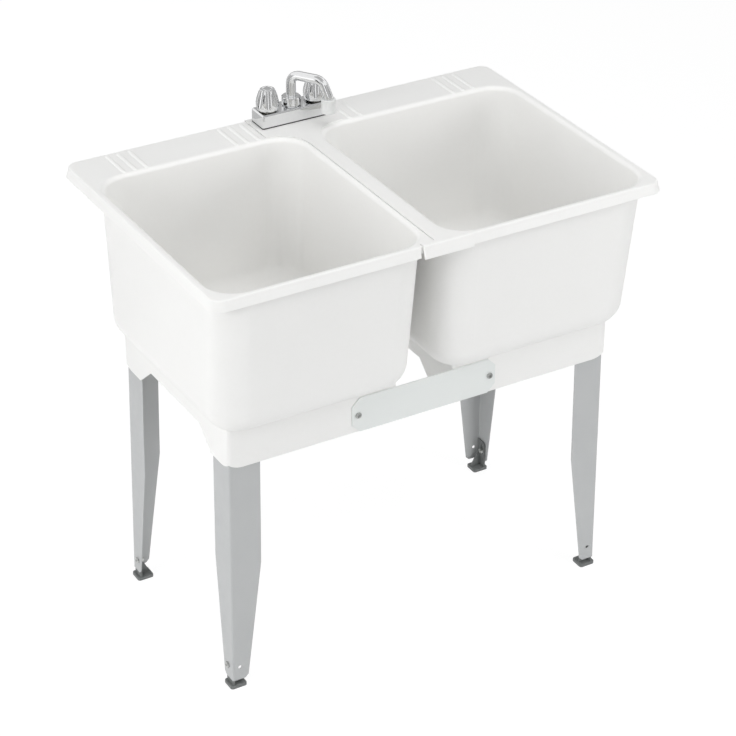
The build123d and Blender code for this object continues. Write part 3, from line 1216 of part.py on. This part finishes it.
save("faucet_body", faucet_body())
save("faucet_gasket", faucet_gasket())
save("faucet_shank_washers", shank_washers())
save("faucet_shank_nuts", shank_nuts())
for which in ("hot", "cold"):
    save(f"{which}_cartridge", cartridge(which))
    save(f"{which}_stem", stem(which))
    save(f"{which}_handle", handle(which))
    save(f"{which}_handle_screw", handle_screw(which))
    save(f"{which}_index_button", index_button(which))

save("spout", spout())
save("spout_nut", spout_nut())
save("spout_o_rings", spout_o_rings())
save("spout_tip", spout_tip())
save("spout_screen", spout_screen())
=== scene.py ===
import json
import math

import bmesh
import bpy
from mathutils import Matrix, Vector


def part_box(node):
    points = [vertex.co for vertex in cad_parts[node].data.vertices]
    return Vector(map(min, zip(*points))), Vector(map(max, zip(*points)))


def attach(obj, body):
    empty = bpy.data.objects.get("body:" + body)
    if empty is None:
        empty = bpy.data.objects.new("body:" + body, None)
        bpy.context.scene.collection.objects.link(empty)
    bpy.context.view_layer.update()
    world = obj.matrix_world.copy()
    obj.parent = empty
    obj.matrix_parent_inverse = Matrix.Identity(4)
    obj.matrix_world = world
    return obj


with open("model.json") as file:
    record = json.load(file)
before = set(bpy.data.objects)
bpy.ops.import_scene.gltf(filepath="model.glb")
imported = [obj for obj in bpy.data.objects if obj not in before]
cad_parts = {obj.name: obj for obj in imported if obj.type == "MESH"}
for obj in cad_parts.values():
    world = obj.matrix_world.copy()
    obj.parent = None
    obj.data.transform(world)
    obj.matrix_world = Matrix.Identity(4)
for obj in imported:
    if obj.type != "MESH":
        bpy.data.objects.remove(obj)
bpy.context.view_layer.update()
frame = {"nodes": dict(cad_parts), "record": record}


# ---- materials ---------------------------------------------------------------------------

NOISE_LOW, NOISE_HIGH = 0.3, 0.7   # where a noise texture's values mostly lie


class Finish:
    """A procedural material on a Principled shader, in the object's own coordinates."""

    def __init__(self, name, color, roughness, metallic=0.0):
        self.material = bpy.data.materials.new(name)
        self.material.use_nodes = True
        self.tree = self.material.node_tree
        self.shader = self.tree.nodes["Principled BSDF"]
        self.shader.inputs["Base Color"].default_value = (*color, 1.0)
        self.shader.inputs["Roughness"].default_value = roughness
        self.shader.inputs["Metallic"].default_value = metallic
        self.coordinates = self.tree.nodes.new("ShaderNodeTexCoord").outputs["Object"]

    def link(self, a, b):
        self.tree.links.new(a, b)

    def noise(self, scale, detail=2.0, stretch=(1.0, 1.0, 1.0)):
        """Noise at a scale in features per metre, finer along an axis with a larger stretch."""
        node = self.tree.nodes.new("ShaderNodeTexNoise")
        node.inputs["Scale"].default_value = scale
        node.inputs["Detail"].default_value = detail
        mapping = self.tree.nodes.new("ShaderNodeMapping")
        mapping.inputs["Scale"].default_value = stretch
        self.link(self.coordinates, mapping.inputs["Vector"])
        self.link(mapping.outputs["Vector"], node.inputs["Vector"])
        return node.outputs["Fac"]

    def spread(self, value, low, high):
        """Map a noise to a range."""
        node = self.tree.nodes.new("ShaderNodeMapRange")
        node.inputs["From Min"].default_value = NOISE_LOW
        node.inputs["From Max"].default_value = NOISE_HIGH
        node.inputs["To Min"].default_value = low
        node.inputs["To Max"].default_value = high
        self.link(value, node.inputs["Value"])
        return node.outputs["Result"]

    def tint(self, value, other, amount):
        """Mix the base colour towards another, up to an amount, where a noise is high."""
        mix = self.tree.nodes.new("ShaderNodeMix")
        mix.data_type = "RGBA"
        source = self.shader.inputs["Base Color"]
        if source.links:
            self.link(source.links[0].from_socket, mix.inputs["A"])
        else:
            mix.inputs["A"].default_value = source.default_value
        mix.inputs["B"].default_value = (*other, 1.0)
        self.link(self.spread(value, 0.0, amount), mix.inputs["Factor"])
        self.link(mix.outputs["Result"], source)
        return self

    def vary_roughness(self, scale, low, high, detail=3.0, stretch=(1.0, 1.0, 1.0)):
        """Roughness between two values, by a noise of its own."""
        self.link(self.spread(self.noise(scale, detail, stretch), low, high),
                  self.shader.inputs["Roughness"])
        return self

    def bump(self, value, strength, distance):
        """Raise the surface by a noise, over any bump that is already there."""
        node = self.tree.nodes.new("ShaderNodeBump")
        node.inputs["Strength"].default_value = strength
        node.inputs["Distance"].default_value = distance
        self.link(value, node.inputs["Height"])
        previous = self.shader.inputs["Normal"]
        if previous.links:
            self.link(previous.links[0].from_socket, node.inputs["Normal"])
        self.link(node.outputs["Normal"], previous)
        return self


def tub_plastic():
    """White moulded thermoplastic: satin, with a fine mould texture and faint clouding."""
    f = Finish("tub_plastic", (0.930, 0.926, 0.910), 0.42)
    f.tint(f.noise(7.0, 3.0), (0.915, 0.910, 0.892), 0.6)
    f.tint(f.noise(180.0, 2.0), (0.945, 0.942, 0.930), 0.35)
    f.vary_roughness(22.0, 0.36, 0.50)
    f.bump(f.noise(9.0, 2.0), 0.10, 0.004)
    f.bump(f.noise(750.0, 2.0), 0.10, 0.0004)
    return f.material


def leg_enamel():
    """Pale grey powder coat with orange peel."""
    f = Finish("leg_enamel", (0.52, 0.53, 0.53), 0.38)
    f.tint(f.noise(14.0, 3.0), (0.49, 0.50, 0.505), 0.7)
    f.tint(f.noise(1400.0, 1.0), (0.57, 0.58, 0.58), 0.4)
    f.vary_roughness(60.0, 0.32, 0.46)
    f.bump(f.noise(520.0, 2.0), 0.16, 0.0004)
    return f.material


def plate_enamel():
    """White enamel on flat steel."""
    f = Finish("plate_enamel", (0.84, 0.865, 0.85), 0.34)
    f.tint(f.noise(6.0, 2.0), (0.83, 0.855, 0.84), 0.6)
    f.vary_roughness(9.0, 0.36, 0.44)
    f.bump(f.noise(420.0, 2.0), 0.12, 0.0004)
    return f.material


def zinc():
    """Zinc-plated steel with a fine crystalline spangle."""
    f = Finish("zinc", (0.60, 0.61, 0.60), 0.30, 1.0)
    f.tint(f.noise(900.0, 2.0), (0.48, 0.49, 0.47), 0.7)
    f.vary_roughness(500.0, 0.22, 0.42)
    f.bump(f.noise(1500.0, 2.0), 0.2, 0.0001)
    return f.material


def foot_plastic():
    """Dull grey plastic, dustier in patches."""
    f = Finish("foot_plastic", (0.16, 0.17, 0.17), 0.55)
    f.tint(f.noise(120.0, 3.0), (0.22, 0.225, 0.22), 0.8)
    f.vary_roughness(200.0, 0.48, 0.66)
    f.bump(f.noise(1100.0, 2.0), 0.25, 0.0003)
    return f.material


def strainer_steel():
    """Spun stainless steel."""
    f = Finish("strainer_steel", (0.56, 0.56, 0.55), 0.28, 1.0)
    f.tint(f.noise(260.0, 3.0), (0.48, 0.48, 0.47), 0.6)
    f.vary_roughness(900.0, 0.22, 0.40, 2.0, (1.0, 1.0, 8.0))
    f.bump(f.noise(1600.0, 1.0, (1.0, 1.0, 6.0)), 0.12, 0.0001)
    return f.material


def seal_rubber():
    """Black moulded rubber."""
    f = Finish("seal_rubber", (0.022, 0.022, 0.023), 0.62)
    f.tint(f.noise(300.0, 3.0), (0.05, 0.05, 0.048), 0.6)
    f.vary_roughness(300.0, 0.55, 0.74)
    f.bump(f.noise(1300.0, 2.0), 0.2, 0.0002)
    return f.material


def drain_plastic():
    """White pipe plastic with faint extrusion lines."""
    f = Finish("drain_plastic", (0.80, 0.80, 0.775), 0.34)
    f.tint(f.noise(60.0, 3.0), (0.76, 0.755, 0.72), 0.6)
    f.vary_roughness(90.0, 0.28, 0.44)
    f.bump(f.noise(600.0, 2.0, (1.0, 1.0, 0.05)), 0.12, 0.0002)
    return f.material


def shank_plastic():
    """White injection-moulded plastic."""
    f = Finish("shank_plastic", (0.80, 0.81, 0.80), 0.30)
    f.tint(f.noise(200.0, 3.0), (0.74, 0.75, 0.74), 0.6)
    f.vary_roughness(260.0, 0.26, 0.40)
    f.bump(f.noise(900.0, 2.0), 0.10, 0.0002)
    return f.material


def chrome(name="chrome"):
    """Bright plating over a cast surface that is very slightly wavy."""
    f = Finish(name, (0.82, 0.825, 0.83), 0.07, 1.0)
    f.tint(f.noise(160.0, 4.0), (0.76, 0.765, 0.77), 0.5)
    f.vary_roughness(240.0, 0.05, 0.12, 4.0)
    f.bump(f.noise(55.0, 1.0), 0.03, 0.0004)
    return f.material


def brass():
    """Brass under dull nickel plating, in a dark grey that is partly painted shade, standing in for
    the shadow under the handles.
    """
    # dark grey base and tint: partly the plating's own colour, partly painted shade under the
    # handles
    f = Finish("brass", (0.34, 0.33, 0.30), 0.30, 1.0)
    f.tint(f.noise(400.0, 3.0), (0.26, 0.24, 0.20), 0.6)
    f.vary_roughness(700.0, 0.2, 0.38)
    f.bump(f.noise(1600.0, 2.0), 0.15, 0.0001)
    return f.material


SLOT_OF = {s["node"]: s["material_slot"] for s in frame["record"]["subparts"]}
MATERIALS = {
    "tub_plastic": tub_plastic(), "plate_enamel": plate_enamel(), "leg_enamel": leg_enamel(),
    "zinc": zinc(), "foot_plastic": foot_plastic(), "strainer_steel": strainer_steel(),
    "seal_rubber": seal_rubber(), "drain_plastic": drain_plastic(),
    "shank_plastic": shank_plastic(), "chrome": chrome(),
    "button_chrome": chrome("button_chrome"), "brass": brass(),
}
for name, node in frame["nodes"].items():
    node.data.materials.clear()
    node.data.materials.append(MATERIALS[SLOT_OF[name]])


# ---- screw threads that the solids leave plain -------------------------------------------

STEPS_PER_TURN = 40
FADE_TURNS = 0.5        # at each end of a thread
FADED = 0.1             # share of the height that is left at the very end
ROOT_DEPTH = 0.0002     # of the ridge's foot inside the cylinder
PROFILE = ((False, 0.12), (True, 0.42), (True, 0.58), (False, 0.88))   # on the crest, share of pitch


def thread(name, axis, low, high, radius, pitch, height, node):
    """Helical ridge round a node's vertical cylinder, fading out at both ends."""
    points = []
    count = int((high - low - pitch) / pitch * STEPS_PER_TURN)
    for step in range(count + 1):
        turn = 2 * math.pi * step / STEPS_PER_TURN
        z = low + pitch * step / STEPS_PER_TURN
        fade = min(1.0, min(step, count - step) / STEPS_PER_TURN / FADE_TURNS)
        crest = radius + height * (FADED + (1 - FADED) * fade)
        for on_crest, share in PROFILE:
            r = crest if on_crest else radius - ROOT_DEPTH
            points.append((axis[0] + r * math.cos(turn), axis[1] + r * math.sin(turn),
                           z + share * pitch))
    corners = len(PROFILE)
    faces = [tuple(range(corners)), tuple(reversed(range(corners * count, corners * (count + 1))))]
    for step in range(count):
        a, b = corners * step, corners * (step + 1)
        faces += [(a + k, b + k, b + (k + 1) % corners, a + (k + 1) % corners)
                  for k in range(corners)]
    mesh = bpy.data.meshes.new(name)
    mesh.from_pydata(points, [], faces)
    ridge = bmesh.new()
    ridge.from_mesh(mesh)
    bmesh.ops.recalc_face_normals(ridge, faces=ridge.faces)
    ridge.to_mesh(mesh)
    ridge.free()
    mesh.materials.append(MATERIALS[SLOT_OF[node]])
    piece = bpy.data.objects.new(name, mesh)
    bpy.context.scene.collection.objects.link(piece)
    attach(piece, "sink")


SHANK_SPREAD, FAUCET_Y = 0.0508, 0.268   # shanks' distance from the middle, and the faucet's axis
SHANK_RADIUS, SHANK_PITCH, SHANK_RIDGE = 0.01045, 0.0018, 0.0006
SHANK_END, SHANK_RUN_OUT = 0.001, 0.004   # plain ends below and above the thread
DRAIN_RADIUS, DRAIN_PITCH, DRAIN_RIDGE = 0.0235, 0.0022, 0.0007
NUT_CLEARANCE = 0.0005

shank_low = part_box("faucet_body")[0].z + SHANK_END
shank_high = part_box("faucet_shank_nuts")[0].z - SHANK_RUN_OUT
for side, x in (("left", -SHANK_SPREAD), ("right", SHANK_SPREAD)):
    thread(f"shank_thread_{side}", (x, FAUCET_Y), shank_low, shank_high, SHANK_RADIUS,
           SHANK_PITCH, SHANK_RIDGE, "faucet_body")
for side in ("left", "right"):
    gasket_low, gasket_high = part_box(f"{side}_drain_gasket")
    middle = (gasket_low + gasket_high) / 2
    thread(f"drain_thread_{side}", (middle.x, middle.y),
           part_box(f"{side}_slip_nut")[1].z + NUT_CLEARANCE,
           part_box(f"{side}_drain_locknut")[0].z - NUT_CLEARANCE,
           DRAIN_RADIUS, DRAIN_PITCH, DRAIN_RIDGE, f"{side}_drain_body")


# ---- camera ------------------------------------------------------------------------------

AZIMUTH, ELEVATION, ROLL = math.radians(30.593), math.radians(30.996), math.radians(0.517)
DISTANCE = 4.7694
TARGET = Vector((0.03533, 0.03163, 0.430))
PHOTO_WIDTH, FOCAL_LENGTH = 736, 2465.3   # in the photograph's pixels
SENSOR_WIDTH = 36.0
CLIP_END = 100.0

forward = Vector((math.sin(AZIMUTH) * math.cos(ELEVATION),
                  math.cos(AZIMUTH) * math.cos(ELEVATION), -math.sin(ELEVATION)))
level = Vector((math.cos(AZIMUTH), -math.sin(AZIMUTH), 0.0))
upright = level.cross(forward)
right = level * math.cos(ROLL) + upright * math.sin(ROLL)
up = upright * math.cos(ROLL) - level * math.sin(ROLL)

camera_data = bpy.data.cameras.new("camera")
camera_data.sensor_width = SENSOR_WIDTH
camera_data.lens = FOCAL_LENGTH / PHOTO_WIDTH * SENSOR_WIDTH
camera_data.clip_end = CLIP_END
camera = bpy.data.objects.new("camera", camera_data)
bpy.context.scene.collection.objects.link(camera)
camera.matrix_world = (Matrix.Translation(TARGET - forward * DISTANCE)
                       @ Matrix((right, up, -forward)).transposed().to_4x4())
bpy.context.scene.camera = camera


# ---- floor, world and lamps --------------------------------------------------------------

WORLD_STRENGTH = 0.29     # of the light that the world gives the object
FLOOR_SHADE = 0.93
FLOOR_GLOW = 1.08         # strength, over white by what the shaded share takes away
FLOOR_GLOW_SHARE = 0.85   # the rest of what the camera sees of the floor is lit, and holds shadow
FLOOR_REACH = 12.0
FLOOR_DROP = 0.0005       # below the feet, against flicker


def seen_or_plain(tree, seen, plain, output_socket):
    """One shader for camera, glossy and transmission rays, and a plain one for the rest."""
    rays = tree.nodes.new("ShaderNodeLightPath")
    either = tree.nodes.new("ShaderNodeMath")
    either.operation = "MAXIMUM"
    tree.links.new(rays.outputs["Is Camera Ray"], either.inputs[0])
    tree.links.new(rays.outputs["Is Glossy Ray"], either.inputs[1])
    all_three = tree.nodes.new("ShaderNodeMath")
    all_three.operation = "MAXIMUM"
    tree.links.new(either.outputs[0], all_three.inputs[0])
    tree.links.new(rays.outputs["Is Transmission Ray"], all_three.inputs[1])
    mix = tree.nodes.new("ShaderNodeMixShader")
    tree.links.new(all_three.outputs[0], mix.inputs[0])
    tree.links.new(plain, mix.inputs[1])
    tree.links.new(seen, mix.inputs[2])
    tree.links.new(mix.outputs[0], output_socket)


world = bpy.data.worlds.new("studio")
bpy.context.scene.world = world
world.use_nodes = True
tree = world.node_tree
tree.nodes.clear()
seen = tree.nodes.new("ShaderNodeBackground")
seen.inputs["Color"].default_value = (1.0, 1.0, 1.0, 1.0)
lit = tree.nodes.new("ShaderNodeBackground")
lit.inputs["Color"].default_value = (0.97, 0.985, 1.0, 1.0)
lit.inputs["Strength"].default_value = WORLD_STRENGTH
out = tree.nodes.new("ShaderNodeOutputWorld")
seen_or_plain(tree, seen.outputs[0], lit.outputs[0], out.inputs["Surface"])


def floor_material():
    """Near-white floor that keeps a soft shadow of the object."""
    material = bpy.data.materials.new("floor")
    material.use_nodes = True
    tree = material.node_tree
    tree.nodes.clear()
    plain = tree.nodes.new("ShaderNodeBsdfDiffuse")
    plain.inputs["Color"].default_value = (FLOOR_SHADE, FLOOR_SHADE, FLOOR_SHADE, 1.0)
    glow = tree.nodes.new("ShaderNodeEmission")
    glow.inputs["Strength"].default_value = FLOOR_GLOW
    both = tree.nodes.new("ShaderNodeMixShader")
    both.inputs[0].default_value = FLOOR_GLOW_SHARE
    tree.links.new(plain.outputs[0], both.inputs[1])
    tree.links.new(glow.outputs[0], both.inputs[2])
    out = tree.nodes.new("ShaderNodeOutputMaterial")
    seen_or_plain(tree, both.outputs[0], plain.outputs[0], out.inputs["Surface"])
    return material


def rectangle(name, width, height):
    """Flat mesh of one face round the origin, which faces +z."""
    mesh = bpy.data.meshes.new(name)
    x, y = width / 2, height / 2
    mesh.from_pydata([(-x, -y, 0), (x, -y, 0), (x, y, 0), (-x, y, 0)], [], [(0, 1, 2, 3)])
    return mesh


floor_mesh = rectangle("floor", 2 * FLOOR_REACH, 2 * FLOOR_REACH)
floor = bpy.data.objects.new("floor", floor_mesh)
floor.location.z = -FLOOR_DROP
floor_mesh.materials.append(floor_material())
bpy.context.scene.collection.objects.link(floor)


def area_light(name, position, aim, width, height, watts):
    """Soft box that points at a place and doesn't show in polished metal."""
    data = bpy.data.lights.new(name, "AREA")
    data.shape = "RECTANGLE"
    data.size = width
    data.size_y = height
    data.energy = watts
    lamp = bpy.data.objects.new(name, data)
    lamp.visible_glossy = False
    lamp.location = position
    lamp.rotation_euler = (Vector(aim) - Vector(position)).to_track_quat("-Z", "Y").to_euler()
    bpy.context.scene.collection.objects.link(lamp)


# name, place, what it points at, width, height and watts
for lamp in (("key_left", (-3.4, -0.6, 1.7), (0, 0, 0.6), 1.8, 1.8, 52),
             ("front_fill", (2.0, -2.6, 1.5), (0.1, 0, 0.6), 1.6, 1.4, 31.5),
             ("top_soft", (0.1, -0.2, 3.4), (0, 0, 0.8), 2.6, 2.0, 27),
             ("high_left", (-1.9, -2.0, 3.2), (0, 0, 0.8), 1.6, 1.6, 10),
             ("back_fill", (-0.6, 3.2, 1.2), (0, 0, 0.6), 2.0, 1.6, 20),
             ("high_front", (0.9, -2.4, 3.3), (0, 0, 0.8), 1.6, 1.6, 15.5)):
    area_light(*lamp)


def mirror_card(name, position, aim, width, height, shade):
    """Card off to the side that only shows as a dark, grey or bright streak in polished metal."""
    mesh = rectangle(name, width, height)
    card = bpy.data.objects.new(name, mesh)
    card.location = position
    card.rotation_euler = (Vector(aim) - Vector(position)).to_track_quat("Z", "Y").to_euler()
    material = bpy.data.materials.new(name)
    material.use_nodes = True
    tree = material.node_tree
    tree.nodes.clear()
    glow = tree.nodes.new("ShaderNodeEmission")
    glow.inputs["Color"].default_value = (shade, shade, shade, 1.0)
    out = tree.nodes.new("ShaderNodeOutputMaterial")
    tree.links.new(glow.outputs[0], out.inputs["Surface"])
    mesh.materials.append(material)
    card.visible_camera = False
    card.visible_diffuse = False
    card.visible_shadow = False
    card.visible_transmission = False
    bpy.context.scene.collection.objects.link(card)


FAUCET = (0.0, FAUCET_Y, 0.92)
mirror_card("card_back_right", (1.15, 2.2, 2.2), FAUCET, 2.6, 1.1, 0.45)
mirror_card("card_back_left", (-0.62, 1.28, 0.22), FAUCET, 0.7, 0.5, 0.68)
mirror_card("card_top", (0.1, -0.2, 3.3), FAUCET, 2.9, 2.3, 0.50)
mirror_card("card_high", (-0.5, -1.6, 2.9), FAUCET, 1.5, 0.9, 0.50)

RING_RADIUS, RING_Z, RING_HEIGHT = 1.0, 0.65, 1.3
# bearing from the faucet in degrees from +x, width and shade of each card standing around it
RING = ((20, 0.22, 0.05), (48, 0.5, 0.55), (80, 0.18, 0.12), (112, 0.5, 0.58), (140, 0.2, 0.08),
        (164, 0.4, 0.45), (188, 0.28, 1.3), (206, 0.2, 0.03), (230, 0.5, 0.42), (253, 0.16, 1.3),
        (267, 0.2, 0.04), (292, 0.5, 0.48), (318, 0.24, 0.05), (345, 0.4, 0.55))
for number, (bearing, width, shade) in enumerate(RING):
    angle = math.radians(bearing)
    middle = Vector((FAUCET[0], FAUCET[1], RING_Z))
    place = middle + RING_RADIUS * Vector((math.cos(angle), math.sin(angle), 0.0))
    mirror_card(f"card_ring_{number}", place, middle, width, RING_HEIGHT, shade)

bpy.context.scene.view_settings.view_transform = "Standard"


# ---- size of what is shown ---------------------------------------------------------------

def plain(corners):
    """A box's corners as lists of numbers."""
    return [[float(x) for x in corner] for corner in corners]
